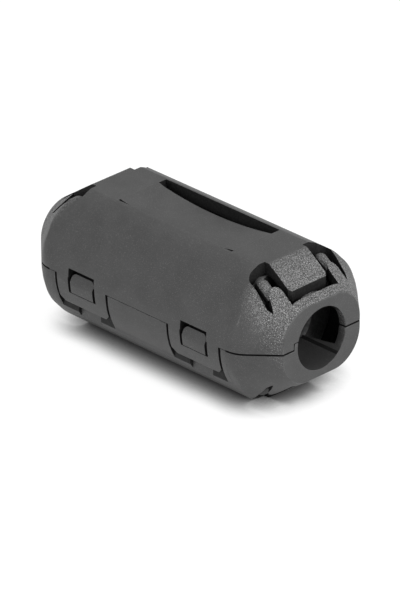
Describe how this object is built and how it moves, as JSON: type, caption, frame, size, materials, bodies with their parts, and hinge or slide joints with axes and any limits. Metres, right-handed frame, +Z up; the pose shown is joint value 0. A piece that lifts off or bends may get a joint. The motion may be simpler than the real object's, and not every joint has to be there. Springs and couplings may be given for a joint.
{
  "type": "clip on ferrite bead",
  "caption": "Hinged plastic case that snaps shut round a cable, with half a ferrite tube held in each side by a bowed plate.",
  "frame": {"origin": "middle of the base, the flat underneath the lower half", "axes": "+X along the cable, +Y towards the hinge, -Y towards the two latches, +Z up through the top flat"},
  "size_m": [0.036, 0.018, 0.0155],
  "materials": {
    "case": "fine spark-eroded texture, matte",
    "ferrite": "dark ceramic with a low shine"
  },
  "bodies": {
    "lower_half": {"lower_case": "case", "lower_core": "ferrite", "front_hinge_strap": "case", "rear_hinge_strap": "case"},
    "upper_half": {"upper_case": "case", "upper_core": "ferrite"}
  },
  "joints": [
    {"name": "lid_hinge", "type": "hinge", "parent": "lower_half", "child": "upper_half", "pos_m": [0, 0.00945, 0.00775], "axis": [-1, 0, 0], "range_deg": [0, 180], "deforming": ["front_hinge_strap", "rear_hinge_strap"]}
  ]
}
